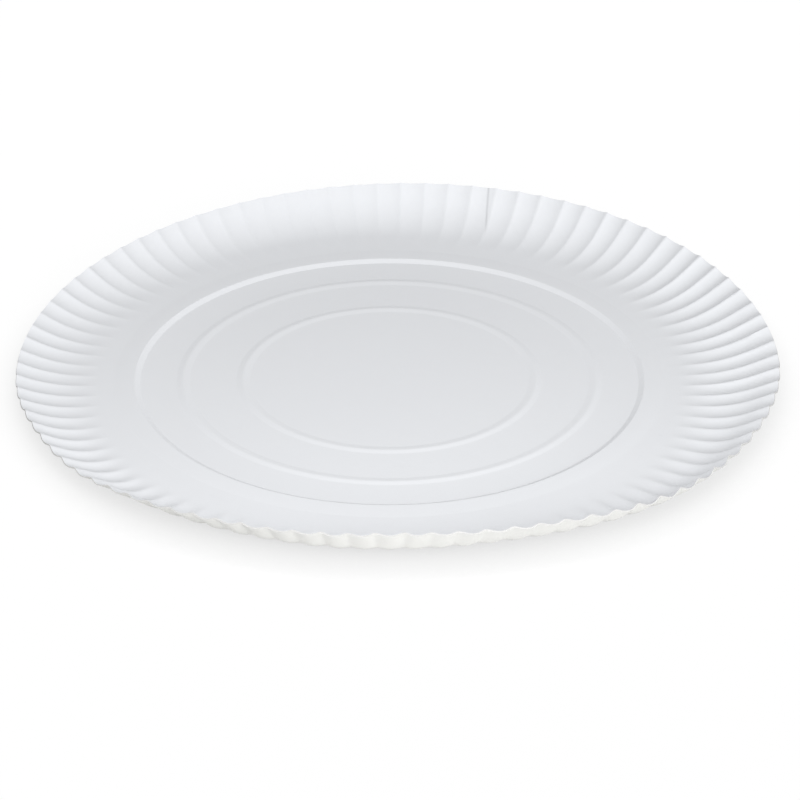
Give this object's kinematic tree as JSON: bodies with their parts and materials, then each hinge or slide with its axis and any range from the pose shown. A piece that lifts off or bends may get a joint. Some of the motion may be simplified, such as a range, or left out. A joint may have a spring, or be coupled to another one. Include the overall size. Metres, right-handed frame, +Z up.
{
  "type": "paper plate",
  "caption": "Large round paper plate with a fluted, upturned flange, two raised ring beads and a shallow stepped middle.",
  "frame": {"origin": "under the middle of the round blank, on the surface the plate stands on", "axes": "+Z up through the plate, -Y towards the front where the flange stands steepest, +X to the right"},
  "size_m": [0.3196, 0.3104, 0.0173],
  "materials": {
    "coated_board": "white coated paperboard, satin on the eating face, uncoated and slightly warm white underneath"
  },
  "bodies": {
    "root": {"plate": "coated_board"}
  },
  "joints": []
}
